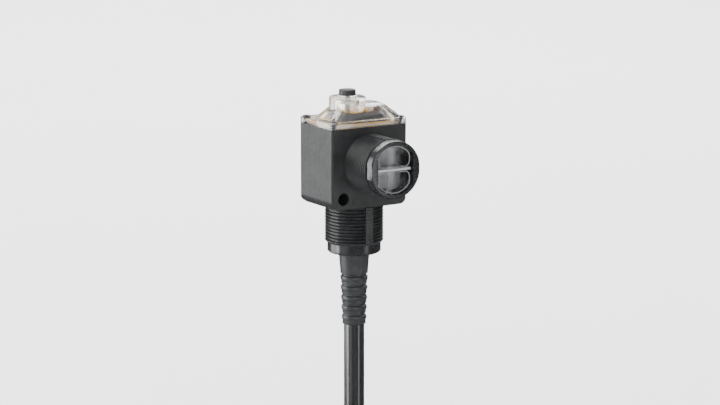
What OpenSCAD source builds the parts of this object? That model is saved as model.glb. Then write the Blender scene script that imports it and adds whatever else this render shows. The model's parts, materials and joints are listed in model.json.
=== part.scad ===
// Right-angle photoelectric sensor with an M18 lens nose, an M18 base and a cable.
// Origin: on the base thread's axis at the housing's underside. +Z up, lenses face -Y. Millimetres.

/* [Housing] */
// Width of the housing, side to side
body_w = 26.8; // [26:0.1:28]
// Distance from the base axis to the front face
body_front = 9.0; // [8.8:0.1:9.6]
// Distance from the base axis to the back face
body_back = 10.0; // [9.8:0.1:11]
// Height of the housing, underside to cover seam
body_h = 24.8; // [24.6:0.1:26]
// Wall thickness
wall = 1.8; // [1.6:0.1:2.0]
// Radius of the four upright edges
upright_r = 1.0; // [0.6:0.1:1.5]
// Radius of the lower side edges and the lower back edge
lower_r = 3.0; // [2:0.5:3]
// Radius of the lower front edge
front_edge_r = 0.6; // [0.4:0.1:0.8]
// Radius of the fixing hole low on the left
side_hole_r = 1.9; // [1.6:0.1:2.0]

/* [Threads] */
// Major radius of both M18 threads
thread_r = 9.0; // [9.0:0.1:9.0]
// Thread pitch
pitch = 1.0; // [1.0:0.5:1.0]
// Length of the thread on the nose
nose_len = 11.3; // [10.3:1:12.3]
// Length of the thread on the base
base_len = 11.8; // [10.8:1:12.8]
// Height of the nose axis above the underside
nose_z = 13.75; // [13.5:0.05:14]

/* [Lens] */
// Outer radius of the lens bezel
bezel_r = 8.75; // [8.6:0.05:8.9]
// Distance from the nose axis to each flat of the bezel
bezel_flat = 8.4; // [8.2:0.1:8.6]
// Distance from the housing front to the front of the bezel
bezel_front = 14.4; // [14:0.1:15]

/* [Top cover and adjuster] */
// Thickness of the cover's flange
flange_t = 2.0; // [1.8:0.1:2.4]
// Height of the cover's roof above the seam
roof_h = 6.45; // [6:0.05:7]
// Position of the adjuster, left of the middle
knob_x = -3.5; // [-4:0.1:-3]
// Position of the adjuster, in front of the base axis
knob_y = -1.7; // [-2:0.1:-1.4]
// Radius of the clear boss under the adjuster
boss_r = 5.55; // [5:0.05:6]
// Radius of the adjuster knob at its foot
knob_r = 2.65; // [2.4:0.05:3]
// Height of the adjuster knob
knob_h = 1.7; // [1.4:0.1:2.4]

/* [Cable] */
// Cable diameter
cable_d = 6.4; // [6.2:0.1:6.4]
// Length of the ribbed strain relief below the collar
relief_len = 22.6; // [22.6:0.1:24]
// Height of the surface that the coil lies on
floor_z = -105; // [-110:1:-105]

/* [Hidden] */
$fn = 64;
eps = 0.01;
seam_z = body_h;
flange_z = seam_z + flange_t;
roof_z = seam_z + roof_h;
boss_z = roof_z + 2.25;
knob_z = boss_z + 0.4;

// thread section: 60 degree flanks on a 1 mm pitch
thread_depth = 0.6134 * pitch;
root_r = thread_r - thread_depth;
crest_half = pitch / 16;
root_half = pitch / 12;

// smooth land along each thread, front and back, where the mould halves meet
land_w = 2.6;
land_reach = 8.9;
land_short = 0.75;

collar_r = 8.2;
collar_h = 3.1;
collar_z = -(base_len + collar_h);
bushing_bore_r = 4.15;
stem_r = 6.5;
nose_bore_r = 7.4;

hole_x = -9.35;
hole_z = 3.5;
hole_wall = 1.2;

screw_x = 11.8;
screw_front_y = -7.4;
screw_back_y = 8.5;
screw_r = 0.6;
head_r = 1.1;
head_z = 1.2;
counterbore_r = 1.3;
pillar_r = 2.3;

// cover seal, measured inwards from the housing's outline
seal_outer = 0.3;
seal_inner = 0.8;
seal_t = 0.5;

// upright boards; board_reach is how far the front one lies behind the housing's front face
optics_y = -6.9;
board_reach = body_front + optics_y;
main_y = 6.4;
board_t = 1.0;
indicator_z = 23.2;
parts_z = indicator_z + board_t;

// lamps on the indicator board, and the frame and shield round them
led_x = [1.5, 5.4];
led_y = -3.5;
led_r = 1.5;
led_h = 4.2;
frame_x = 10.1;
frame_w = 0.9;
gasket_t = 0.4;
shield_t = 0.7;
shield_z = seam_z + 0.9;
shield_top = shield_z + 2.9;

shaft_r = 0.8;
running_gap = 0.05;
seal_r = 2.1;
seal_z = 31.3;
gland_r = 2.45;
wiper_r = 2.2;
wiper_z = 27.2;
pot_h = 4.8;

// bezel round the lenses
bezel_back = nose_len + 0.4;
rim_chamfer = 0.6;
spigot_back = 8.5;
spigot_r = nose_bore_r - 0.05;
spigot_bore_r = 6.95;
window_r = 7.6;
window_half_w = 6.2;

// lenses, stepped at their rim to seat in the bezel
lens_gap = 0.05;
lens_r = 6.85;
lens_half_w = 5.9;
lens_back = 9.7;
lens_step = 12.6;
lens_front = 14.0;
lens_dome_r = 19;
plate_t = 0.4;
plate_sink = 0.3;
plate_right = 3.2;
divider_t = 0.7;
diode_offset = 3.2;

// cable, from the strain relief down to its coil
cable_r = cable_d / 2;
relief_end = collar_z - relief_len;
tie_t = 1.3;
tie_w = 4;
coil_x = -43.5;
coil_y = -30;
coil_mean_r = 33.9;
coil_turns_wide = 4;
coil_layers = 2;
coil_w = coil_turns_wide * cable_d;
coil_h = coil_layers * cable_d;
coil_z = floor_z + tie_t;
tie_angles = [95, 170, 245];

run_points = [
    [0, 0, relief_end], [0, 0, -48], [0, 0, -59], [0, 0, -69.1], [0, -1.9, -78.7],
    [0, -7.3, -86.8], [0, -15.4, -92.2], [0, -25, -94.1], [0, -30, -94.1]
];
tail_points = [
    [-30, 11.4, -100.5], [-17.3, 6, -100.5], [-5.8, -2.5, -100.5], [3, -14.8, -100.5],
    [6.4, -30, -100.7], [4, -45.4, -101], [-3.1, -59.4, -101.3], [-14.1, -70.4, -101.6],
    [-28.1, -77.5, -101.8], [-38.2, -79.6, -101.8], [-48.4, -80.6, -101.8]
];
lead_r = 0.7;
lead_names = ["brown", "white", "blue", "black"];
lead_starts = [
    [-48.3, -79.7, -100.9], [-48.3, -81.5, -100.9], [-48.3, -79.7, -102.7], [-48.3, -81.5, -102.7]
];
lead_ends = [[-80, -76, -104.3], [-79, -85, -104.3], [-81, -80, -104.3], [-77, -90, -104.3]];

wire_r = 0.55;
wire_foot = [[-0.9, -0.9], [0.9, -0.9], [-0.9, 0.9], [0.9, 0.9]];
wire_x = [-4.5, 4.5, -1.5, 1.5];
wire_foot_z = -5.4;

// ---- shared shapes ----

// rectangle from (x0, y0) to (x1, y1) with round corners
module round_rect(x0, y0, x1, y1, r) {
    translate([x0 + r, y0]) square([x1 - x0 - 2 * r, y1 - y0]);
    translate([x0, y0 + r]) square([x1 - x0, y1 - y0 - 2 * r]);
    for (x = [x0 + r, x1 - r], y = [y0 + r, y1 - r]) translate([x, y]) circle(r);
}

// thread outline: radius across, length along, crests at every pitch, chamfer at the free end
function thread_outline(length) = concat(
    [[0, 0], [thread_r, 0], [thread_r, crest_half]],
    [for (k = [1:floor(length / pitch)]) each [
        [root_r, (k - 0.5) * pitch - root_half],
        [root_r, (k - 0.5) * pitch + root_half],
        [thread_r, k * pitch - crest_half],
        [thread_r, k * pitch + crest_half]
    ]],
    [[thread_r - min(thread_depth, length - floor(length / pitch) * pitch - crest_half), length],
     [0, length]]
);

module thread_solid(length) {
    rotate_extrude($fn = 96) polygon(thread_outline(length));
    translate([-land_w / 2, -land_reach, 0]) cube([land_w, 2 * land_reach, length - land_short]);
}

// places a child on the nose axis: its Z runs forward from the housing's front face
module on_nose() {
    translate([0, -body_front, nose_z]) rotate([90, 0, 0]) children();
}

// circle with a flat on each side
module flatted_circle(r, half_w) {
    intersection() {
        circle(r, $fn = 96);
        translate([-half_w, -r - 1]) square([2 * half_w, 2 * r + 2]);
    }
}

// round bar swept along points; ref is any direction that the path never runs along
function unit(v) = v / norm(v);
function heading(path, i) = unit(path[min(i + 1, len(path) - 1)] - path[max(i - 1, 0)]);
function swept_ring(path, i, r, ref, sides) =
    let (t = heading(path, i), u = unit(cross(t, ref)), v = cross(u, t))
    [for (k = [0:sides - 1]) path[i] + r * (cos(360 * k / sides) * u + sin(360 * k / sides) * v)];

module swept_bar(path, r, ref, sides) {
    last = len(path) - 1;
    rings = [for (i = [0:last]) each swept_ring(path, i, r, ref, sides)];
    walls = [for (i = [0:last - 1], k = [0:sides - 1])
        let (a = i * sides + k, b = i * sides + (k + 1) % sides) [a, b, b + sides, a + sides]];
    foot = [[for (k = [0:sides - 1]) sides - 1 - k]];
    head = [[for (k = [0:sides - 1]) last * sides + k]];
    polyhedron(points = rings, faces = concat(walls, foot, head), convexity = 4);
}

// ---- housing ----

// rectangle with its two lower corners rounded: r0 at the low end of x, r1 at the high end
module round_foot(x0, x1, height, r0, r1) {
    translate([x0 + r0, 0]) square([x1 - r1 - x0 - r0, height]);
    translate([x0, r0]) square([x1 - x0 - r1, height - r0]);
    translate([x0 + r0, r1]) square([x1 - x0 - r0, height - r1]);
    translate([x0 + r0, r0]) circle(r0);
    translate([x1 - r1, r1]) circle(r1);
}

module body_block() {
    intersection() {
        linear_extrude(body_h)
            round_rect(-body_w / 2, -body_front, body_w / 2, body_back, upright_r);
        translate([0, body_back + 1, 0]) rotate([90, 0, 0]) linear_extrude(body_front + body_back + 2)
            round_foot(-body_w / 2, body_w / 2, body_h, lower_r, lower_r);
        translate([-body_w / 2 - 1, 0, 0]) rotate([90, 0, 90]) linear_extrude(body_w + 2)
            round_foot(-body_front, body_back, body_h, front_edge_r, lower_r);
    }
}

module cavity() {
    inner_x = body_w / 2 - wall;
    difference() {
        translate([0, 0, wall]) linear_extrude(body_h)
            round_rect(-inner_x, wall - body_front, inner_x, body_back - wall, 0.8);
        for (x = [-screw_x, screw_x], y = [screw_front_y, screw_back_y])
            translate([x, y, 0]) cylinder(r = pillar_r, h = body_h + wall + 1);
        translate([hole_x, body_back + 1, hole_z]) rotate([90, 0, 0])
            cylinder(r = side_hole_r + hole_wall, h = body_front + body_back + 2);
    }
}

module inset_outline(inset) {
    round_rect(inset - body_w / 2, inset - body_front,
        body_w / 2 - inset, body_back - inset, upright_r - inset);
}

module seal_ring(height) {
    linear_extrude(height) difference() {
        inset_outline(seal_outer);
        inset_outline(seal_inner);
    }
}

module housing() {
    color("#3a3d40") difference() {
        union() {
            body_block();
            on_nose() thread_solid(nose_len);
            rotate([180, 0, 0]) thread_solid(base_len);
        }
        cavity();
        on_nose() translate([0, 0, -wall - 1]) cylinder(r = nose_bore_r, h = nose_len + wall + 2);
        translate([0, 0, -base_len - 1]) cylinder(r = stem_r + running_gap, h = base_len + wall + 2);
        translate([hole_x, body_back + 1, hole_z]) rotate([90, 0, 0])
            cylinder(r = side_hole_r, h = body_front + body_back + 2);
        translate([0, 0, seam_z - seal_t]) seal_ring(1);
        for (x = [-screw_x, screw_x], y = [screw_front_y, screw_back_y])
            translate([x, y, seam_z - 5]) cylinder(r = screw_r, h = 6);
    }
}

// ---- lens nose ----

module nose_seal() {
    color("#1b1c1d") on_nose() translate([0, 0, nose_len]) difference() {
        cylinder(r = 8.3, h = 0.4);
        translate([0, 0, -1]) cylinder(r = nose_bore_r, h = 3);
    }
}

module lens_bezel() {
    color("#1c1d1f") on_nose() difference() {
        union() {
            intersection() {
                rotate_extrude($fn = 96) polygon([
                    [0, bezel_back], [bezel_r, bezel_back], [bezel_r, bezel_front - rim_chamfer],
                    [bezel_r - rim_chamfer, bezel_front], [0, bezel_front]
                ]);
                translate([-bezel_flat, -bezel_r - 1, bezel_back - 1])
                    cube([2 * bezel_flat, 2 * bezel_r + 2, 8]);
            }
            translate([0, 0, spigot_back]) cylinder(r = spigot_r, h = bezel_back - spigot_back + eps);
        }
        translate([0, 0, spigot_back - 1]) cylinder(r = spigot_bore_r, h = lens_step - spigot_back + 1);
        translate([0, 0, lens_step - eps]) linear_extrude(4) flatted_circle(window_r, window_half_w);
    }
}

module lens_carrier() {
    color("#17181a") on_nose() difference() {
        translate([0, 0, -board_reach]) cylinder(r = 6.9, h = lens_back - lens_gap + board_reach);
        for (side = [-1, 1]) {
            translate([0, 0, 1.6]) linear_extrude(lens_back) intersection() {
                flatted_circle(6.1, 5.4);
                translate([-7, side > 0 ? 0.5 : -7.5]) square([14, 7]);
            }
            translate([0, side * diode_offset, -board_reach - 1]) cylinder(r = 1.75, h = 6);
        }
    }
}

// grey plate behind the lenses, sunk a little into the carrier's two pockets
module aperture_plate() {
    color("#8b8e90") on_nose() translate([0, 0, lens_back - plate_sink - plate_t])
        linear_extrude(plate_t)
        for (side = [-1, 1]) intersection() {
            flatted_circle(6.1, 5.4);
            translate([-7, side > 0 ? 0.5 : -7.5]) square([7 + plate_right, 7]);
        }
}

// side is 1 for the upper lens and -1 for the lower one
module lens(side) {
    on_nose() intersection() {
        union() {
            translate([0, 0, lens_back]) linear_extrude(lens_front - lens_back)
                flatted_circle(lens_r, lens_half_w);
            translate([0, 0, lens_step]) linear_extrude(lens_front - lens_step)
                flatted_circle(window_r - lens_gap, window_half_w - lens_gap);
        }
        translate([-8, side > 0 ? divider_t / 2 : -8 - divider_t / 2, lens_back - 1]) cube([16, 8, 8]);
        translate([0, side * diode_offset, lens_front - lens_dome_r]) sphere(r = lens_dome_r, $fn = 128);
    }
}

module emitter_lens() {
    color([0.62, 0.64, 0.66, 0.8]) lens(1);
}

module receiver_lens() {
    color([0.62, 0.64, 0.66, 0.8]) lens(-1);
}

module lens_divider() {
    half = lens_half_w - 0.2;
    color("#b4b8ba") on_nose() translate([-half, -divider_t / 2, lens_back])
        cube([2 * half, divider_t, lens_front - 0.4 - lens_back]);
}

module emitter_led() {
    color("#c9ccd0") on_nose() translate([0, diode_offset, -board_reach]) {
        cylinder(r = 1.5, h = 3.2);
        translate([0, 0, 3.2]) intersection() {
            sphere(r = 1.5);
            cylinder(r = 2, h = 2);
        }
    }
}

module photodiode() {
    color("#22262c") on_nose() translate([-1.1, -diode_offset - 1.1, -board_reach])
        cube([2.2, 2.2, 1.4]);
}

// ---- electronics ----

module optics_board() {
    color("#1f5b34") translate([-8.5, optics_y, 6.8]) cube([17, board_t, 16]);
}

module main_board() {
    color("#1f5b34") translate([-9.2, main_y, 7.4]) cube([18.4, board_t, 15.4]);
}

module board_header() {
    front = optics_y + board_t;
    color("#2b2b2d") translate([-5, front, 21.2]) cube([10, main_y - front, indicator_z - 21.2]);
}

module sensor_ic() {
    color("#202225") translate([-3, main_y - 1.2, 13]) cube([6, 1.2, 5]);
}

module output_transistors() {
    color("#26282b") for (x = [-7.5, 6]) translate([x, main_y - 1.1, 11]) cube([1.6, 1.1, 3]);
}

module smoothing_capacitor() {
    color("#3d4046") translate([6.8, main_y, 18.2]) rotate([90, 0, 0]) cylinder(r = 1.6, h = 4.5);
}

module indicator_board() {
    color("#8c6a2e") difference() {
        translate([-9.2, -6.9, indicator_z]) cube([18.4, 14.8, board_t]);
        translate([knob_x, knob_y, indicator_z - 1]) cylinder(r = 1.3, h = 4);
    }
}

// outline shared by the lamp frame and its gasket, with one window before and one behind the bar
module frame_outline() {
    difference() {
        round_rect(-frame_x, -6.1, frame_x, 8.1, 0.7);
        round_rect(frame_w - frame_x, -5.2, frame_x - frame_w, 1.3, 0.6);
        round_rect(frame_w - frame_x, 1.9, frame_x - frame_w, 7.2, 0.6);
    }
}

// pale gasket on the tops of the housing's pillars, inside the cover's recess
module frame_gasket() {
    color("#d2d2cc") translate([0, 0, seam_z]) linear_extrude(gasket_t) frame_outline();
}

// amber frame on the gasket, which carries the shield
module lamp_frame() {
    color("#c08a34") translate([0, 0, seam_z + gasket_t]) linear_extrude(shield_z - seam_z - gasket_t)
        frame_outline();
}

// truncated pyramid below the cover's slopes, pulled in by inset
module shield_block(inset, z0, z1) {
    hull() {
        slab(9.4 - inset, -6 + inset, 1.8 - inset, 1.6, z0, 0.1, $fn = 24);
        slab(7.5 - inset, -4.9 + inset, 1.2 - inset, 1.6, z1 - 0.1, 0.1, $fn = 24);
    }
}

// shield over the lamps, with windows for them and for the potentiometer
module light_shield() {
    color("#46484b") difference() {
        shield_block(0, shield_z, shield_top);
        shield_block(shield_t, shield_z - 0.5, shield_top - shield_t);
        for (x = led_x) translate([x, led_y, shield_z]) cylinder(r = led_r + 0.1, h = 4);
        translate([knob_x - 3, knob_y - 3, shield_z]) cube([6, 6, 4]);
    }
}

module dome_led(x, y) {
    translate([x, y, parts_z]) {
        cylinder(r = led_r, h = led_h);
        translate([0, 0, led_h]) intersection() {
            sphere(r = led_r);
            cylinder(r = led_r + 1, h = led_r + 1);
        }
    }
}

module signal_led() {
    color("#f0b21e") dome_led(led_x[0], led_y);
}

module power_led() {
    color("#7d4a2a") dome_led(led_x[1], led_y);
}

// ---- adjuster ----

module potentiometer() {
    color("#b98a3c") difference() {
        translate([knob_x - 2.9, knob_y - 2.9, parts_z]) cube([5.8, 5.8, pot_h]);
        translate([knob_x, knob_y, wiper_z - 0.5]) cylinder(r = wiper_r + 0.4, h = 1.7);
        translate([knob_x, knob_y, parts_z - 1]) cylinder(r = shaft_r + running_gap, h = 7);
    }
}

module pot_wiper() {
    color("#b9a26a") translate([knob_x, knob_y, wiper_z]) difference() {
        cylinder(r = wiper_r, h = 0.7);
        translate([0, 0, -1]) cylinder(r = shaft_r, h = 3);
    }
}

module adjuster_shaft() {
    color("#c4c2ba") translate([knob_x, knob_y, 24.6]) cylinder(r = shaft_r, h = knob_z + 0.8 - 24.6);
}

module shaft_seal() {
    color("#c9c9c6") translate([knob_x, knob_y, seal_z]) difference() {
        cylinder(r = seal_r, h = 0.7);
        translate([0, 0, -1]) cylinder(r = shaft_r, h = 3);
    }
}

module adjuster_knob() {
    flutes = 20;
    color("#33363a") translate([knob_x, knob_y, knob_z]) difference() {
        cylinder(r1 = knob_r, r2 = knob_r - 0.15, h = knob_h, $fn = 96);
        translate([0, 0, -1]) cylinder(r = shaft_r, h = 1.8);
        translate([-knob_r, -0.35, knob_h - 0.6]) cube([2 * knob_r, 0.7, 1]);
        for (k = [0:flutes - 1]) rotate(360 * (k + 0.5) / flutes)
            translate([knob_r + 0.05, 0, -1]) cylinder(r = 0.2, h = knob_h + 2, $fn = 16);
    }
}

// ---- top cover ----

module slab(half_x, y0, y1, r, z, t) {
    translate([0, 0, z]) linear_extrude(t) round_rect(-half_x, y0, half_x, y1, r);
}

// raised roof: foot rectangle at z0, pulled in by foot_in, and smaller top rectangle, by top_in
module roof_block(foot_in, top_in, z0, z1) {
    hull() {
        slab(12.5 - foot_in, -8.5 + foot_in, 4.2 - foot_in, 2, z0, 0.1, $fn = 32);
        slab(7.4 - top_in, -5.2 + top_in, 1.9 - top_in, 2.2, z1 - 0.1, 0.1, $fn = 32);
    }
}

module top_cover() {
    color([0.86, 0.86, 0.84, 0.35]) difference() {
        union() {
            slab(body_w / 2, -body_front, body_back, upright_r, seam_z, flange_t);
            roof_block(0, 0, flange_z - 0.1, roof_z);
            translate([knob_x, knob_y, flange_z]) cylinder(r = boss_r, h = boss_z - flange_z);
        }
        slab(10.2, -6.2, 8.2, 0.8, seam_z - 0.1, 1.1);
        roof_block(1.7, 1, seam_z + 0.9, roof_z - 1);
        translate([knob_x, knob_y, roof_z - 2.5]) cylinder(r = gland_r, h = seal_z + 1.1 - roof_z + 2.5);
        translate([knob_x, knob_y, seam_z]) cylinder(r = shaft_r + running_gap, h = 12);
        for (x = [-screw_x, screw_x], y = [screw_front_y, screw_back_y]) translate([x, y, seam_z]) {
            translate([0, 0, -1]) cylinder(r = screw_r + 0.1, h = 6);
            translate([0, 0, head_z]) cylinder(r = counterbore_r, h = 6);
        }
    }
}

module cover_seal() {
    color("#b57a1c") translate([0, 0, seam_z - seal_t]) seal_ring(seal_t);
}

module cover_screws() {
    color("#1e1f21") for (x = [-screw_x, screw_x], y = [screw_front_y, screw_back_y])
        translate([x, y, seam_z]) difference() {
            union() {
                translate([0, 0, -5]) cylinder(r = screw_r, h = head_z + 5.1);
                translate([0, 0, head_z]) cylinder(r = head_r, h = 1.1);
            }
            for (turn = [0, 90]) rotate(turn) translate([-0.7, -0.15, head_z + 0.7])
                cube([1.4, 0.3, 1]);
        }
}

// ---- base and cable entry ----

module end_bushing() {
    color("#2f3235") difference() {
        union() {
            rotate_extrude($fn = 96) polygon([
                [0, collar_z], [collar_r - 0.5, collar_z], [collar_r, collar_z + 0.5],
                [collar_r, -base_len], [0, -base_len]
            ]);
            translate([0, 0, -base_len - 1]) cylinder(r = stem_r, h = 8);
        }
        translate([0, 0, collar_z - 1]) cylinder(r = bushing_bore_r, h = 20);
    }
}

// five ribs below a plain cone, both tapering towards the free end
function relief_outline() =
    let (top = collar_z, ribs = 5, first = -22.1, step = 3.1)
    concat(
        [[cable_r, top + 6.5], [4.1, top + 6.5], [4.1, top], [4.75, top], [4.25, first + 0.5]],
        [for (k = [0:ribs - 1]) let (groove = first - k * step, rib_r = 4.25 - 0.1 * k) each [
            [rib_r - 0.5, groove + 0.15],
            [rib_r - 0.5, groove - 0.15],
            [rib_r - 0.12, groove - 0.45],
            [rib_r, groove - 0.85],
            [rib_r - 0.02, groove - 1.35],
            [rib_r - 0.22, groove - 1.8],
            [rib_r - 0.3, groove - step + 0.35]
        ]],
        [[3.7, relief_end], [cable_r, relief_end]]
    );

module strain_relief() {
    color("#4a4d50") rotate_extrude($fn = 96) polygon(relief_outline());
}

module inner_cable() {
    color("#2c2e31") translate([0, 0, relief_end]) cylinder(r = cable_r, h = wire_foot_z - relief_end);
}

module cable_clamp() {
    color("#b99a58") translate([0, 0, -7.9]) difference() {
        cylinder(r = cable_r + 0.8, h = 2);
        translate([0, 0, -1]) cylinder(r = cable_r, h = 4);
    }
}

// conductor from the cable's inner end up to the foot of the main board
module inner_wire(i) {
    foot = wire_foot[i];
    swept_bar([
        [foot[0], foot[1], wire_foot_z], [foot[0], foot[1], 0], [wire_x[i] * 0.6, 1.6, 3.4],
        [wire_x[i], 3.6, 6], [wire_x[i], 4.9, 8.2], [wire_x[i], main_y - wire_r, 10.6]
    ], wire_r, [1, 0, 0], 8);
}

module brown_wire() {
    color("#5d3a1e") inner_wire(0);
}

module white_wire() {
    color("#dedede") inner_wire(1);
}

module blue_wire() {
    color("#2455a4") inner_wire(2);
}

module black_wire() {
    color("#1a1a1a") inner_wire(3);
}

// ---- cable outside the sensor ----

module cable_run() {
    color("#303236") swept_bar(run_points, cable_r, [1, 0, 0], 12);
}

module cable_coil() {
    inner = coil_mean_r - coil_w / 2;
    color("#303236") translate([coil_x, coil_y, coil_z]) rotate_extrude($fn = 96)
        round_rect(inner, 0, inner + coil_w, coil_h, cable_r * 0.9);
}

module cable_tail() {
    color("#303236") swept_bar(tail_points, cable_r, [0, 0, 1], 12);
}

module coil_ties() {
    color("#1f2022") translate([coil_x, coil_y, floor_z]) for (angle = tie_angles) rotate(angle)
        translate([coil_mean_r - coil_w / 2 - tie_t, -tie_w / 2, 0]) difference() {
            cube([coil_w + 2 * tie_t, tie_w, coil_h + 2 * tie_t]);
            translate([tie_t, -1, tie_t]) cube([coil_w, tie_w + 2, coil_h]);
        }
}

module lead(i) {
    a = lead_starts[i];
    b = lead_ends[i];
    middle = [a[0] - 12, a[1] + (b[1] - a[1]) * 0.25, (a[2] + b[2]) / 2];
    swept_bar([a, middle, b], lead_r, [0, 0, 1], 8);
}

module brown_lead() {
    color("#5d3a1e") lead(0);
}

module white_lead() {
    color("#dedede") lead(1);
}

module blue_lead() {
    color("#2455a4") lead(2);
}

module black_lead() {
    color("#1a1a1a") lead(3);
}

housing();
nose_seal();
lens_bezel();
lens_carrier();
aperture_plate();
emitter_lens();
receiver_lens();
lens_divider();
emitter_led();
photodiode();
optics_board();
main_board();
board_header();
sensor_ic();
output_transistors();
smoothing_capacitor();
indicator_board();
frame_gasket();
lamp_frame();
light_shield();
signal_led();
power_led();
potentiometer();
pot_wiper();
adjuster_shaft();
shaft_seal();
adjuster_knob();
top_cover();
cover_seal();
cover_screws();
end_bushing();
strain_relief();
inner_cable();
cable_clamp();
brown_wire();
white_wire();
blue_wire();
black_wire();
cable_run();
cable_coil();
cable_tail();
coil_ties();
brown_lead();
white_lead();
blue_lead();
black_lead();
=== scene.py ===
"""Looks of a right-angle photoelectric sensor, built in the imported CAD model's own frame. Metres."""

import json
import math

import bmesh
import bpy
from mathutils import Matrix, Vector


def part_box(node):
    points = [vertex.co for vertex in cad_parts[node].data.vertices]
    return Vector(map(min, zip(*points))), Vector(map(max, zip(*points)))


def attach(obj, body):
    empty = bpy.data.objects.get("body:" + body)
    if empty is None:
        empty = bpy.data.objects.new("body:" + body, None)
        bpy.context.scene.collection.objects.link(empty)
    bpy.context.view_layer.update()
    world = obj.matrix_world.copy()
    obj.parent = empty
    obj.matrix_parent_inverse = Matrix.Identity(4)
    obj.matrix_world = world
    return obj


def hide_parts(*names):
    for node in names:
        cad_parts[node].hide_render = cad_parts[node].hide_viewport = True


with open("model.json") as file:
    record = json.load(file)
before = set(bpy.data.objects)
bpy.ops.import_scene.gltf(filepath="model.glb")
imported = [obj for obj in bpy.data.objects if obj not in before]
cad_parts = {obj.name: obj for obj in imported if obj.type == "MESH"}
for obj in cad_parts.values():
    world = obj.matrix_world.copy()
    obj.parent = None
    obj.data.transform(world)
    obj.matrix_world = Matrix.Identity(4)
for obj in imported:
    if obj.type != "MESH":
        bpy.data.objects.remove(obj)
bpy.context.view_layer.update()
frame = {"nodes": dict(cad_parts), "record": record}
nodes = frame["nodes"]
MM = 0.001


def lowest(node):
    """Lowest corner of a CAD node's box."""
    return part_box(node)[0]


def middle_z(node):
    """Height of the middle of a CAD node's box."""
    low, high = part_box(node)
    return ((low + high) / 2).z


# ---- camera, with its angles measured from the front ----

AIM = Vector((0, 0, 10 * MM))
AZIMUTH = math.radians(-31.97)
ELEVATION = math.radians(10.19)
DISTANCE = 0.6925
LENS = 113.6
SHIFT = (0.0082, -0.0439)
CLIP = (0.01, 20)


def make_camera():
    back = Vector((
        math.sin(AZIMUTH) * math.cos(ELEVATION),
        -math.cos(AZIMUTH) * math.cos(ELEVATION),
        math.sin(ELEVATION),
    ))
    data = bpy.data.cameras.new("camera")
    data.lens = LENS
    data.shift_x, data.shift_y = SHIFT
    data.clip_start, data.clip_end = CLIP
    camera = bpy.data.objects.new("camera", data)
    camera.location = AIM + back * DISTANCE
    camera.rotation_euler = (-back).to_track_quat("-Z", "Y").to_euler()
    bpy.context.scene.collection.objects.link(camera)
    bpy.context.scene.camera = camera


# ---- cable route, in millimetres ----

CABLE_D = 6.4
RELIEF_END = -37.3
COIL_CENTRE = Vector((-43.5, -30))
COIL_MEAN_R = 33.9
COIL_WIDE = 4
TOP_Z = -94.1
BOTTOM_Z = TOP_Z - CABLE_D
TAIL_Z = -101.8
STEP_PART = 0.2
DROP_TUCK = 2.6
DROP_SHAPE = 0.6
POINTS_PER_TURN = 36

RUN_POINTS = [
    (0, 0, RELIEF_END), (0, 0, -41), (0, 0, -48), (0, 0, -59), (0, 0, -69.1), (0, -0.5, -74),
    (0, -1.9, -78.7), (0, -4.2, -83), (0, -7.3, -86.8), (0, -11.1, -89.9), (0, -15.4, -92.2),
    (0, -20.1, -93.6), (0, -25, -94.1),
]
TAIL_POINTS = [
    (6.4, -30, -100.7), (5.9, -37.8, -100.8), (4, -45.4, -101), (0.9, -52.7, -101.1),
    (-3.1, -59.4, -101.3), (-8.2, -65.2, -101.5), (-14.1, -70.4, -101.6),
    (-20.8, -74.4, -101.7), (-28.1, -77.5, TAIL_Z), (-38.2, -79.6, TAIL_Z),
    (-48.4, -80.6, TAIL_Z),
]


def smooth(t):
    """Eased step from 0 to 1."""
    t = min(max(t, 0), 1)
    return t * t * (3 - 2 * t)


def turn_radius(index):
    """Radius at the start of a turn: the top layer winds inwards, the bottom one outwards."""
    step = index if index < COIL_WIDE else 2 * COIL_WIDE - 1 - index
    return COIL_MEAN_R + ((COIL_WIDE - 1) / 2 - step) * CABLE_D


def coil_points():
    """Two layers of turns; each turn steps over to the next one's radius near its end."""
    turns = 2 * COIL_WIDE
    points = []
    for index in range(turns):
        radius = turn_radius(index)
        after = turn_radius(index + 1) if index < turns - 1 else radius + CABLE_D
        for k in range(POINTS_PER_TURN):
            part = k / POINTS_PER_TURN
            s = smooth((part - 1 + STEP_PART) / STEP_PART)
            r = radius + (after - radius) * s
            z = TOP_Z if index < COIL_WIDE else BOTTOM_Z
            if index == COIL_WIDE - 1:
                z = TOP_Z - CABLE_D * s
                r -= DROP_TUCK * math.sin(math.pi * s) ** DROP_SHAPE
            angle = -2 * math.pi * part
            points.append((
                COIL_CENTRE.x + r * math.cos(angle), COIL_CENTRE.y + r * math.sin(angle), z
            ))
    return points


def curve_piece(name, points, diameter, body="sensor"):
    """Round bar along points given in millimetres. Each point's radius is the bar's own."""
    data = bpy.data.curves.new(name, "CURVE")
    data.dimensions = "3D"
    data.bevel_depth = 1
    data.bevel_resolution = 6
    data.use_fill_caps = True
    data.resolution_u = 3
    spline = data.splines.new("NURBS")
    spline.points.add(len(points) - 1)
    for point, (x, y, z) in zip(spline.points, points):
        point.co = (x * MM, y * MM, z * MM, 1)
        point.radius = diameter / 2 * MM
    spline.order_u = 3
    spline.use_endpoint_u = True
    piece = bpy.data.objects.new(name, data)
    bpy.context.scene.collection.objects.link(piece)
    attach(piece, body)
    return piece


LEAD_D = 1.4
STRAND_D = 0.9
BEND_AFTER = 12
BEND_SPREAD = 0.25
BARED_FROM = 0.72
LEAD_ROUTES = {
    "brown": ((-48.3, -79.7, -100.9), (-80, -76, -104.3)),
    "white": ((-48.3, -81.5, -100.9), (-79, -85, -104.3)),
    "blue": ((-48.3, -79.7, -102.7), (-81, -80, -104.3)),
    "black": ((-48.3, -81.5, -102.7), (-77, -90, -104.3)),
}


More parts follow.
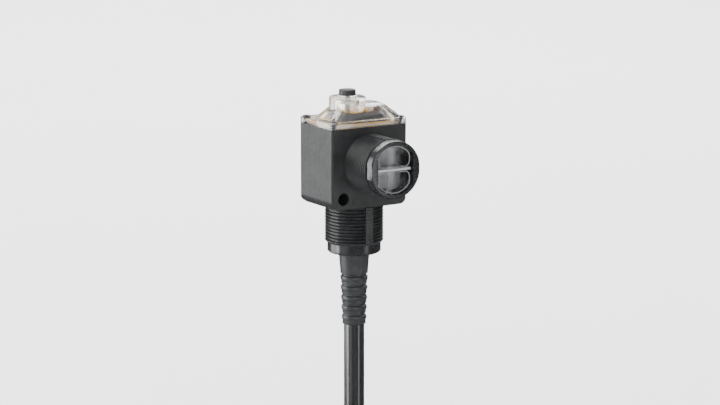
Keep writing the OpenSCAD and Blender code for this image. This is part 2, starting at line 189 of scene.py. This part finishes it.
def make_lead(colour):
    """Insulated conductor out of the cable's cut end, and the tinned strands bared at its tip."""
    start, end = (Vector(v) for v in LEAD_ROUTES[colour])
    middle_y = start.y + (end.y - start.y) * BEND_SPREAD
    middle = Vector((start.x - BEND_AFTER, middle_y, (start.z + end.z) / 2))
    bared = middle.lerp(end, BARED_FROM)
    route = [start, start.lerp(middle, 0.5), middle, bared]
    lead = curve_piece(colour + "_conductor", route, LEAD_D)
    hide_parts(colour + "_lead")
    paint(lead, colour + "_insulation")
    strands = curve_piece(colour + "_strands", [bared, bared.lerp(end, 0.5), end], STRAND_D)
    paint(strands, "tinned_copper")
    return [lead, strands]


def make_cable():
    cable = curve_piece("cable", RUN_POINTS + coil_points() + TAIL_POINTS, CABLE_D)
    paint(cable, "cable_sheath")
    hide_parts("cable_run", "cable_coil", "cable_tail")
    leads = [piece for colour in LEAD_ROUTES for piece in make_lead(colour)]


# ---- materials ----

# parts of a noise texture's range that carry the change of colour and of roughness
COLOUR_STOPS = (0.35, 0.65)
ROUGHNESS_SPAN = (0.3, 0.7)

# axis and the two heights, in millimetres, between which a finish gives way to the next
BASE_THREAD = ("Z", -0.1, 0)
NOSE_THREAD = ("Y", -9.2, -9.1)
COLLAR = ("Z", -16, -11)
THREAD_ROUGHNESS = 0.28
COLLAR_ROUGHNESS = 0.34


class Surface:
    """A procedural material: a principled shader with noise in its colour, roughness and relief."""

    def __init__(self, name):
        self.material = bpy.data.materials.new(name)
        self.material.use_nodes = True
        self.tree = self.material.node_tree
        self.shader = self.tree.nodes["Principled BSDF"]
        self.where = self.tree.nodes.new("ShaderNodeTexCoord").outputs["Object"]
        self.normal = None

    def set(self, **values):
        for key, value in values.items():
            self.shader.inputs[key.replace("_", " ")].default_value = value
        return self

    def noise(self, scale, detail=3.0, stretch=None):
        texture = self.tree.nodes.new("ShaderNodeTexNoise")
        texture.inputs["Scale"].default_value = scale
        texture.inputs["Detail"].default_value = detail
        source = self.where
        if stretch:
            mapping = self.tree.nodes.new("ShaderNodeMapping")
            mapping.inputs["Scale"].default_value = stretch
            self.tree.links.new(source, mapping.inputs["Vector"])
            source = mapping.outputs["Vector"]
        self.tree.links.new(source, texture.inputs["Vector"])
        return texture.outputs["Fac"]

    def ramp(self, factor, stops):
        node = self.tree.nodes.new("ShaderNodeValToRGB")
        elements = node.color_ramp.elements
        for index, (at, colour) in enumerate(stops):
            element = elements[index] if index < 2 else elements.new(at)
            element.position = at
            element.color = (*colour, 1)
        self.tree.links.new(factor, node.inputs["Fac"])
        return node.outputs["Color"]

    def colour(self, low, high, scale, detail=3.0, stretch=None):
        stops = [(COLOUR_STOPS[0], low), (COLOUR_STOPS[1], high)]
        shades = self.ramp(self.noise(scale, detail, stretch), stops)
        self.tree.links.new(shades, self.shader.inputs["Base Color"])
        return self

    def roughness(self, low, high, scale, detail=3.0):
        node = self.tree.nodes.new("ShaderNodeMapRange")
        node.inputs["From Min"].default_value = ROUGHNESS_SPAN[0]
        node.inputs["From Max"].default_value = ROUGHNESS_SPAN[1]
        node.inputs["To Min"].default_value = low
        node.inputs["To Max"].default_value = high
        self.tree.links.new(self.noise(scale, detail), node.inputs["Value"])
        self.tree.links.new(node.outputs["Result"], self.shader.inputs["Roughness"])
        return self

    def band(self, axis, low, high):
        """Factor that runs from 0 below low to 1 above high along one axis, in millimetres."""
        split = self.tree.nodes.new("ShaderNodeSeparateXYZ")
        self.tree.links.new(self.where, split.inputs["Vector"])
        node = self.tree.nodes.new("ShaderNodeMapRange")
        node.inputs["From Min"].default_value = low * MM
        node.inputs["From Max"].default_value = high * MM
        self.tree.links.new(split.outputs[axis], node.inputs["Value"])
        return node.outputs["Result"]

    def polish(self, factor, rough):
        """Roughness falls to rough where factor is 0 and stays as it is where factor is 1."""
        node = self.tree.nodes.new("ShaderNodeMapRange")
        node.inputs["To Min"].default_value = rough
        link = self.shader.inputs["Roughness"].links[0]
        self.tree.links.new(link.from_socket, node.inputs["To Max"])
        self.tree.links.new(factor, node.inputs["Value"])
        self.tree.links.new(node.outputs["Result"], self.shader.inputs["Roughness"])
        return self

    def relief(self, scale, depth_mm, strength=0.6, detail=2.0, stretch=None):
        bump = self.tree.nodes.new("ShaderNodeBump")
        bump.inputs["Strength"].default_value = strength
        bump.inputs["Distance"].default_value = depth_mm * MM
        self.tree.links.new(self.noise(scale, detail, stretch), bump.inputs["Height"])
        if self.normal:
            self.tree.links.new(self.normal, bump.inputs["Normal"])
        self.normal = bump.outputs["Normal"]
        self.tree.links.new(self.normal, self.shader.inputs["Normal"])
        return self


def housing_plastic():
    surface = Surface("housing_plastic").set(Specular_IOR_Level=0.36)
    surface.colour((0.019, 0.021, 0.0215), (0.027, 0.029, 0.03), 260, 5)
    surface.roughness(0.36, 0.5, 900)
    for thread in (BASE_THREAD, NOSE_THREAD):
        surface.polish(surface.band(*thread), THREAD_ROUGHNESS)
    return surface.relief(1400, 0.05, 0.5).relief(220, 0.08, 0.25).material


def moulded(name, shade, rough):
    surface = Surface(name).set(Specular_IOR_Level=0.5)
    low = tuple(0.85 * c for c in shade)
    surface.colour(low, shade, 700)
    surface.roughness(rough - 0.06, rough + 0.08, 1200)
    return surface.relief(2200, 0.02, 0.4).material


def gloss_black():
    """Polished black moulding; the collar at the foot of the base thread is less bright."""
    surface = Surface("gloss_black").set(Specular_IOR_Level=0.5)
    surface.colour((0.013, 0.014, 0.015), (0.015, 0.016, 0.018), 700)
    surface.roughness(0.2, 0.3, 1200)
    surface.polish(surface.band(*COLLAR), COLLAR_ROUGHNESS)
    return surface.relief(2200, 0.02, 0.4).material


def sheen_streaked_shield():
    """Dark grey moulding with fine ridges across it, and lighter grey streaks painted into its colour
    as sheen.
    """
    surface = Surface("shield_grey")
    surface.colour((0.05, 0.05, 0.055), (0.19, 0.185, 0.19), 900, 2, (0.06, 1, 1.6))
    surface.roughness(0.3, 0.42, 700)
    return surface.relief(900, 0.08, 0.6, 2, (0.06, 1, 1.6)).material


def relief_rubber():
    surface = Surface("relief_rubber").set(Specular_IOR_Level=0.4)
    surface.colour((0.024, 0.026, 0.028), (0.036, 0.039, 0.041), 420, 4)
    surface.roughness(0.34, 0.44, 800)
    return surface.relief(1600, 0.04, 0.5).relief(160, 0.06, 0.2).material


def cable_sheath():
    surface = Surface("cable_sheath").set(Specular_IOR_Level=0.75)
    surface.colour((0.014, 0.016, 0.017), (0.02, 0.022, 0.024), 300, 4, (1, 1, 0.15))
    surface.roughness(0.2, 0.26, 500)
    return surface.relief(700, 0.006, 0.2, 2, (1, 1, 0.2)).material


def clear_plastic(name, tint, rough, cover):
    """Clear plastic; the part that cover leaves open lets light straight in to what lies behind."""
    surface = Surface(name).set(IOR=1.5, Transmission_Weight=1.0, Specular_IOR_Level=0.5, Alpha=cover)
    surface.colour(tuple(0.985 * c for c in tint), tint, 120)
    surface.roughness(rough, rough + 0.03, 300)
    return surface.relief(90, 0.02, 0.12).material


def painted_highlight_edge():
    """The roof's rounded edge, coloured whitish as a painted highlight band; it passes only part of the
    light.
    """
    surface = Surface("painted_highlight_edge").set(IOR=1.5, Transmission_Weight=0.36, Specular_IOR_Level=0.7)
    surface.colour((0.9, 0.88, 0.86), (0.97, 0.96, 0.94), 400)
    return surface.roughness(0.2, 0.35, 500).material


def rubber(name, shade):
    surface = Surface(name).set(Specular_IOR_Level=0.35)
    surface.colour(tuple(0.8 * c for c in shade), shade, 600)
    surface.roughness(0.5, 0.62, 900)
    return surface.relief(1500, 0.03, 0.4).material


def epoxy(name, shade):
    surface = Surface(name).set(IOR=1.52, Transmission_Weight=0.35, Coat_Weight=0.5)
    surface.colour(tuple(0.8 * c for c in shade), shade, 500)
    return surface.roughness(0.08, 0.16, 700).material


def circuit_board(name, mask, track):
    """Solder mask with the faint raised lines of its copper."""
    surface = Surface(name)
    surface.colour(mask, track, 380, 1, (1, 0.25, 1))
    surface.roughness(0.25, 0.4, 600)
    return surface.relief(380, 0.05, 0.4, 1, (1, 0.25, 1)).material


def brushed_brass():
    surface = Surface("brass_metal").set(Metallic=1.0)
    surface.colour((0.6, 0.44, 0.2), (0.75, 0.58, 0.3), 600, 3, (1, 1, 6))
    surface.roughness(0.25, 0.4, 900)
    return surface.relief(900, 0.01, 0.3, 2, (1, 1, 8)).material


def tinned_copper():
    surface = Surface("tinned_copper").set(Metallic=1.0)
    surface.colour((0.55, 0.5, 0.45), (0.72, 0.68, 0.62), 900, 2, (1, 6, 6))
    surface.roughness(0.25, 0.4, 900)
    return surface.relief(1500, 0.05, 0.6, 1, (0.2, 3, 3)).material


def insulation(name, shade):
    surface = Surface(name).set(Specular_IOR_Level=0.5)
    surface.colour(tuple(0.88 * c for c in shade), shade, 500)
    return surface.roughness(0.3, 0.42, 800).material


MATERIALS = {
    "housing_plastic": housing_plastic(),
    "clear_plastic": clear_plastic("clear_plastic", (0.98, 0.97, 0.95), 0.02, 0.85),
    "lens_plastic": clear_plastic("lens_plastic", (0.92, 0.94, 0.95), 0.02, 0.5),
    "gloss_black": gloss_black(),
    # light grey of the lens rims: a painted glint along the lenses' edges
    "rim_plastic": moulded("rim_plastic", (0.3, 0.31, 0.32), 0.2),
    "black_plastic": moulded("black_plastic", (0.018, 0.019, 0.02), 0.36),
    "knob_plastic": moulded("knob_plastic", (0.03, 0.033, 0.036), 0.46),
    "natural_plastic": moulded("natural_plastic", (0.62, 0.6, 0.55), 0.4),
    "clear_silicone": rubber("clear_silicone", (0.86, 0.85, 0.82)),
    "relief_rubber": relief_rubber(),
    "seal_rubber": rubber("seal_rubber", (0.02, 0.02, 0.02)),
    "amber_seal": rubber("amber_seal", (0.95, 0.55, 0.14)),
    "circuit_board": circuit_board("circuit_board", (0.012, 0.075, 0.03), (0.03, 0.14, 0.06)),
    "amber_board": circuit_board("amber_board", (0.8, 0.46, 0.1), (0.97, 0.68, 0.24)),
    "component_plastic": moulded("component_plastic", (0.03, 0.032, 0.035), 0.5),
    "divider_plastic": moulded("divider_plastic", (0.4, 0.42, 0.43), 0.4),
    "shield_grey": sheen_streaked_shield(),
    # grey plate behind the lenses' left part: a painted reflection in the lenses
    "plate_grey": moulded("plate_grey", (0.2, 0.205, 0.21), 0.5),
    "yellow_led": epoxy("yellow_led", (0.95, 0.55, 0.05)),
    "brown_led": epoxy("brown_led", (0.25, 0.1, 0.03)),
    "clear_led": epoxy("clear_led", (0.85, 0.87, 0.9)),
    "brass_metal": brushed_brass(),
    "tinned_copper": tinned_copper(),
    "cable_sheath": cable_sheath(),
    "brown_insulation": insulation("brown_insulation", (0.14, 0.055, 0.02)),
    "white_insulation": insulation("white_insulation", (0.8, 0.8, 0.78)),
    "blue_insulation": insulation("blue_insulation", (0.03, 0.12, 0.42)),
    "black_insulation": insulation("black_insulation", (0.015, 0.015, 0.015)),
    "nylon_tie": moulded("nylon_tie", (0.02, 0.02, 0.022), 0.38),
}


def paint(piece, slot):
    piece.data.materials.clear()
    piece.data.materials.append(MATERIALS[slot])
    return piece


def paint_cad_nodes():
    for entry in frame["record"]["subparts"]:
        paint(nodes[entry["node"]], entry["material_slot"])


def soften_edges(node, width_mm, angle=30, segments=3):
    """Small round on a CAD node's sharp edges."""
    bevel = nodes[node].modifiers.new("soft_edges", "BEVEL")
    bevel.width = width_mm * MM
    bevel.segments = segments
    bevel.limit_method = "ANGLE"
    bevel.angle_limit = math.radians(angle)
    bevel.harden_normals = False


# ---- mesh helpers ----

SHARP_ANGLE = math.radians(35)


def smooth_shape(shape):
    """Smooth shading, apart from the edges that turn by more than the sharp angle."""
    for face in shape.faces:
        face.smooth = True
    for edge in shape.edges:
        edge.smooth = len(edge.link_faces) != 2 or edge.calc_face_angle(0) < SHARP_ANGLE


def mesh_piece(name, shape, body=None):
    """Turns a bmesh, in millimetres, into an object, and lets it ride on a body if one is given."""
    bmesh.ops.scale(shape, vec=(MM, MM, MM), verts=shape.verts)
    bmesh.ops.recalc_face_normals(shape, faces=shape.faces)
    smooth_shape(shape)
    data = bpy.data.meshes.new(name)
    shape.to_mesh(data)
    shape.free()
    piece = bpy.data.objects.new(name, data)
    bpy.context.scene.collection.objects.link(piece)
    if body:
        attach(piece, body)
    return piece


CORNER_STEPS = 8


def rounded_ring(shape, z, half_x, y0, y1, radius):
    """Vertices of a rectangle with round corners, at one height."""
    ring = []
    corners = [(half_x, y1), (-half_x, y1), (-half_x, y0), (half_x, y0)]
    for index, (x, y) in enumerate(corners):
        cx = x - math.copysign(radius, x)
        cy = y1 - radius if y == y1 else y0 + radius
        for k in range(CORNER_STEPS + 1):
            angle = math.pi / 2 * (index + k / CORNER_STEPS)
            x_out, y_out = cx + radius * math.cos(angle), cy + radius * math.sin(angle)
            ring.append(shape.verts.new((x_out, y_out, z)))
    return ring


def join_rings(shape, first, second):
    count = len(first)
    for k in range(count):
        shape.faces.new((first[k], first[(k + 1) % count], second[(k + 1) % count], second[k]))


def stack(name, outlines):
    """Closed solid through a stack of outlines that all have the same number of points."""
    shape = bmesh.new()
    rings = [[shape.verts.new(point) for point in outline] for outline in outlines]
    for first, second in zip(rings, rings[1:]):
        join_rings(shape, first, second)
    shape.faces.new(rings[0])
    shape.faces.new(rings[-1])
    return mesh_piece(name, shape)


def turned(name, centre, profile, steps=64):
    """Closed turned solid about a vertical axis; profile is a list of (radius, height)."""
    angles = [2 * math.pi * k / steps for k in range(steps)]
    return stack(name, [
        [(centre[0] + radius * math.cos(a), centre[1] + radius * math.sin(a), z) for a in angles]
        for radius, z in profile
    ])


def combine(piece, other, operation):
    """Joins another solid to a piece, or cuts it out, and removes the other."""
    boolean = piece.modifiers.new(operation.lower(), "BOOLEAN")
    boolean.operation = operation
    boolean.solver = "EXACT"
    boolean.object = other
    graph = bpy.context.evaluated_depsgraph_get()
    solid = bpy.data.meshes.new_from_object(piece.evaluated_get(graph))
    piece.modifiers.clear()
    piece.data = solid
    bpy.data.objects.remove(other)


def smooth_again(piece):
    """Shading of a piece after its cuts and joins."""
    shape = bmesh.new()
    shape.from_mesh(piece.data)
    smooth_shape(shape)
    shape.to_mesh(piece.data)
    shape.free()


# ---- clear top cover ----

KNOB_CENTRE = (-3.5, -1.7)
SCREW_CENTRES = [(x, y) for x in (-11.8, 11.8) for y in (-7.4, 8.5)]

# height, half width, front, back and corner radius of each outline, from the seam up
COVER_OUTSIDE = [
    (24.8, 13.3, -8.9, 9.9, 0.9), (24.9, 13.4, -9.0, 10.0, 1.0), (26.45, 13.4, -9.0, 10.0, 1.0),
    (26.65, 13.36, -8.96, 9.96, 1.0), (26.77, 13.22, -8.86, 9.86, 0.95), (26.8, 13.05, -8.75, 9.7, 0.9),
    (26.82, 12.7, -8.62, 4.5, 2.0), (26.9, 12.5, -8.5, 4.25, 2.0), (27.1, 12.25, -8.35, 4.1, 2.0),
    (30.55, 8.3, -5.75, 2.45, 2.3), (30.85, 7.9, -5.5, 2.25, 2.3), (31.06, 7.45, -5.2, 1.95, 2.2),
    (31.19, 6.95, -4.85, 1.6, 2.0), (31.25, 6.3, -4.4, 1.15, 1.7),
]
COVER_INSIDE = [
    (24.8, 10.25, -6.25, 8.25, 0.8), (25.75, 10.2, -6.2, 8.2, 0.8), (25.8, 10.15, -6.2, 2.4, 0.8),
    (26.4, 10.0, -6.15, 2.25, 0.8), (29.8, 6.84, -4.46, 1.06, 1.0), (30.05, 6.5, -4.2, 0.8, 1.0),
    (30.2, 6.0, -3.8, 0.4, 0.8),
]
# heights between which the roof's rounded edge carries the painted highlight band
HIGHLIGHT_LOW, HIGHLIGHT_HIGH = 30.6, 31.2

# radius and height of each step, in millimetres
BOSS_PROFILE = [
    (5.65, 28.2), (5.55, 29.0), (5.55, 33.15), (5.45, 33.38), (5.25, 33.5), (3.4, 33.5),
    (3.2, 33.35), (1.5, 33.35),
]
GLAND_PROFILE = [(2.45, 29.0), (2.45, 32.4)]
SHAFT_BORE_PROFILE = [(0.85, 27.9), (0.85, 34.5)]
SCREW_SEAT_PROFILE = [(0.7, 24.0), (0.7, 26.0), (1.3, 26.0), (1.3, 32.0)]


def cover_shell():
    """The cover without its boss and holes; its second material is the painted highlight band along the
    roof's edge.
    """
    shape = bmesh.new()
    outside = [rounded_ring(shape, *outline) for outline in COVER_OUTSIDE]
    inside = [rounded_ring(shape, *outline) for outline in COVER_INSIDE]
    for rings in (outside, inside):
        for first, second in zip(rings, rings[1:]):
            join_rings(shape, first, second)
        shape.faces.new(rings[-1])
    join_rings(shape, outside[0], inside[0])
    for face in shape.faces:
        face.material_index = int(HIGHLIGHT_LOW < face.calc_center_median().z < HIGHLIGHT_HIGH)
    cover = mesh_piece("clear_cover", shape, "sensor")
    cover.data.materials.append(MATERIALS["clear_plastic"])
    cover.data.materials.append(painted_highlight_edge())
    return cover


def make_cover():
    cover = cover_shell()
    combine(cover, turned("boss", KNOB_CENTRE, BOSS_PROFILE), "UNION")
    combine(cover, turned("gland", KNOB_CENTRE, GLAND_PROFILE), "DIFFERENCE")
    combine(cover, turned("bore", KNOB_CENTRE, SHAFT_BORE_PROFILE), "DIFFERENCE")
    for index, centre in enumerate(SCREW_CENTRES):
        seat = turned(f"seat_{index}", centre, SCREW_SEAT_PROFILE, 32)
        combine(cover, seat, "DIFFERENCE")
    smooth_again(cover)
    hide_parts("top_cover")


# ---- lens bezel ----

# distances forward from the housing's front face, and radii about the nose's axis, in millimetres
FRONT_FACE_Y = -9
BEZEL_R = 8.75
BEZEL_FRONT = 14.4
BEZEL_BACK = 11.7
BEZEL_ROUND = 0.5
BEZEL_CHAMFER = 0.1
BEZEL_FLAT = 8.4
SPIGOT_R = 7.35
SPIGOT_BACK = 8.5
BORE_R = 6.95
WINDOW_R = 7.6
WINDOW_HALF_W = 6.2
WINDOW_SEAT = 12.6
CUT_BACK = 8
CUT_FRONT = 16
CUT_REACH = 10
WINDOW_OVERLAP = 0.01
CROWN_STEPS = 7
SOFT_EDGE = 0.14


def flatted_circle(radius, half_w, z, steps=96):
    """Circle with a flat on each side."""
    angles = [2 * math.pi * k / steps for k in range(steps)]
    return [
        (min(max(radius * math.cos(a), -half_w), half_w), radius * math.sin(a), z) for a in angles
    ]


def bezel_profile():
    """Radius and height of the ring's outside, from the spigot up to the rounded crown."""
    crown = []
    for k in range(CROWN_STEPS + 1):
        angle = math.pi / 2 * k / CROWN_STEPS
        crown.append((
            BEZEL_R - BEZEL_ROUND * (1 - math.cos(angle)),
            BEZEL_FRONT - BEZEL_ROUND * (1 - math.sin(angle)),
        ))
    spigot = [(SPIGOT_R, SPIGOT_BACK), (SPIGOT_R, BEZEL_BACK)]
    edge = [(BEZEL_R - BEZEL_CHAMFER, BEZEL_BACK), (BEZEL_R, BEZEL_BACK + BEZEL_CHAMFER)]
    return spigot + edge + crown


def flat_cutter(side):
    """Block that cuts one of the ring's two flats."""
    low, high = sorted((side * BEZEL_FLAT, side * 2 * BEZEL_FLAT))
    corners = [(low, -CUT_REACH), (high, -CUT_REACH), (high, CUT_REACH), (low, CUT_REACH)]
    return stack("flat", [[(*corner, z) for corner in corners] for z in (BEZEL_BACK - 1, CUT_FRONT)])


def make_bezel():
    """Rounded ring, made upright about its own axis and then turned to face forwards."""
    bezel = turned("bezel_ring", (0, 0), bezel_profile(), 128)
    for side in (-1, 1):
        combine(bezel, flat_cutter(side), "DIFFERENCE")
    bore = turned("bore", (0, 0), [(BORE_R, CUT_BACK), (BORE_R, WINDOW_SEAT)], 96)
    combine(bezel, bore, "DIFFERENCE")
    heights = (WINDOW_SEAT - WINDOW_OVERLAP, CUT_FRONT)
    window = [flatted_circle(WINDOW_R, WINDOW_HALF_W, z) for z in heights]
    combine(bezel, stack("window", window), "DIFFERENCE")
    smooth_again(bezel)
    nose = Matrix.Translation((0, FRONT_FACE_Y * MM, middle_z("nose_seal")))
    bezel.data.transform(nose @ Matrix.Rotation(math.pi / 2, 4, "X"))
    rounding = bezel.modifiers.new("soft_edges", "BEVEL")
    rounding.width = SOFT_EDGE * MM
    rounding.segments = 2
    rounding.angle_limit = math.radians(40)
    rounding.harden_normals = True
    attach(bezel, "sensor")
    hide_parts("lens_bezel")
    paint(bezel, "gloss_black")


# ---- lens rims ----

RIM_D = 0.3
RIM_HALF_W = 5.55
RIM_ARC_R = 7.0
RIM_FILLET = 1.7
RIM_FOOT = 0.75
LENS_MIDDLE = 3.2
LENS_BULGE = 38


def arc(centre, radius, start, sweep, steps):
    """Points of an arc in the plane of the lenses, across and up."""
    angles = [start + sweep * k / steps for k in range(steps + 1)]
    return [
        (centre[0] + radius * math.cos(a), centre[1] + radius * math.sin(a)) for a in angles
    ]


def rim_outline():
    """Outline of a D-shaped lens: rounded corners at the foot and an arc round the outside."""
    inset, foot = RIM_HALF_W - RIM_FILLET, RIM_FOOT + RIM_FILLET
    corner = math.acos(RIM_HALF_W / RIM_ARC_R)
    return (
        arc((-inset, foot), RIM_FILLET, math.pi, math.pi / 2, 6)
        + arc((inset, foot), RIM_FILLET, 1.5 * math.pi, math.pi / 2, 6)
        + arc((0, 0), RIM_ARC_R, corner, math.pi - 2 * corner, 24)
    )


def lens_rim(name, lens, side):
    """Moulded ridge along the edge of one lens, on the lens's curved face; its light grey is a painted
    glint.
    """
    front = lowest(lens).y / MM
    nose_z = middle_z("nose_seal") / MM
    points = []
    for x, up in rim_outline():
        sag = (x * x + (up - LENS_MIDDLE) ** 2) / LENS_BULGE
        points.append((x, front + sag, nose_z + side * up))
    points.append(points[0])
    rim = curve_piece(name, points, RIM_D)
    paint(rim, "rim_plastic")


# ---- stage, in metres ----

FLOOR_HALF_W = 4
FLOOR_FRONT = -2.5
FLOOR_BACK = 1.2
WALL_BEND = 0.5
WALL_TOP = 3.5
BEND_STEPS = 12


def floor_profile():
    """Floor from front to back, then a bend up into a plain wall, as distances along and up."""
    profile = [(FLOOR_FRONT, 0), (FLOOR_BACK, 0)]
    for k in range(1, BEND_STEPS + 1):
        angle = math.pi / 2 * k / BEND_STEPS
        along = FLOOR_BACK + WALL_BEND * math.sin(angle)
        profile.append((along, WALL_BEND * (1 - math.cos(angle))))
    profile.append((FLOOR_BACK + WALL_BEND, WALL_TOP))
    return profile


def make_stage():
    floor_z = lowest("coil_ties").z
    shape = bmesh.new()
    left, right = (
        [shape.verts.new((x, along, floor_z + up)) for along, up in floor_profile()]
        for x in (-FLOOR_HALF_W, FLOOR_HALF_W)
    )
    for k in range(len(left) - 1):
        face = shape.faces.new((left[k], right[k], right[k + 1], left[k + 1]))
        face.smooth = True
    mesh = bpy.data.meshes.new("floor")
    shape.to_mesh(mesh)
    shape.free()
    floor = bpy.data.objects.new("floor", mesh)
    floor.rotation_euler.z = AZIMUTH
    bpy.context.scene.collection.objects.link(floor)
    surface = Surface("floor_paper").set(Roughness=0.9)
    surface.colour((0.86, 0.86, 0.86), (0.88, 0.88, 0.88), 3)
    floor.data.materials.append(surface.relief(40, 0.4, 0.2).material)
    floor.visible_glossy = False


def area_light(name, azimuth, elevation, distance, size, power, target=(0, 0, 0)):
    """A soft light that looks at target; azimuth is measured from the front, towards +X."""
    a, e = math.radians(azimuth), math.radians(elevation)
    away = Vector((math.sin(a) * math.cos(e), -math.cos(a) * math.cos(e), math.sin(e)))
    data = bpy.data.lights.new(name, "AREA")
    data.shape = "RECTANGLE"
    data.size, data.size_y = size
    data.energy = power
    lamp = bpy.data.objects.new(name, data)
    lamp.location = Vector(target) + away * distance
    lamp.rotation_euler = (-away).to_track_quat("-Z", "Y").to_euler()
    bpy.context.scene.collection.objects.link(lamp)


# name, azimuth, elevation, distance, width and height, power
LIGHTS = [
    ("key_left", -127, 4, 0.9, (0.66, 0.7), 11),
    ("left_strip", -106, -6, 0.9, (0.12, 0.5), 4.5),
    ("front_left", -75, -4, 1.0, (0.55, 0.7), 1.5),
    ("overhead", -30, 78, 1.0, (0.45, 0.14), 5),
    ("front_fill", -15, 22, 1.3, (1.0, 0.5), 6),
    ("front_right", 23, -12, 0.9, (0.16, 0.7), 1.5),
    ("front_low", -25, -32, 0.9, (0.6, 0.3), 0.8),
]
BACKDROP_DISTANCE = 1.4
WORLD_STRENGTH = 0.14


def make_lights():
    behind = Vector((-math.sin(AZIMUTH), math.cos(AZIMUTH), 0)) * BACKDROP_DISTANCE
    area_light("background", 0, 90, 1.7, (2.6, 2.2), 225, behind)
    for light in LIGHTS:
        area_light(*light)
    world = bpy.data.worlds.new("studio")
    world.use_nodes = True
    sky = world.node_tree.nodes["Background"]
    sky.inputs["Color"].default_value = (1, 1, 1, 1)
    sky.inputs["Strength"].default_value = WORLD_STRENGTH
    bpy.context.scene.world = world


make_camera()
make_cable()
paint_cad_nodes()
soften_edges("coil_ties", 0.35)
soften_edges("adjuster_knob", 0.08, 40, 2)
make_cover()
make_bezel()
lens_rim("upper_lens_rim", "emitter_lens", 1)
lens_rim("lower_lens_rim", "receiver_lens", -1)
make_stage()
make_lights()
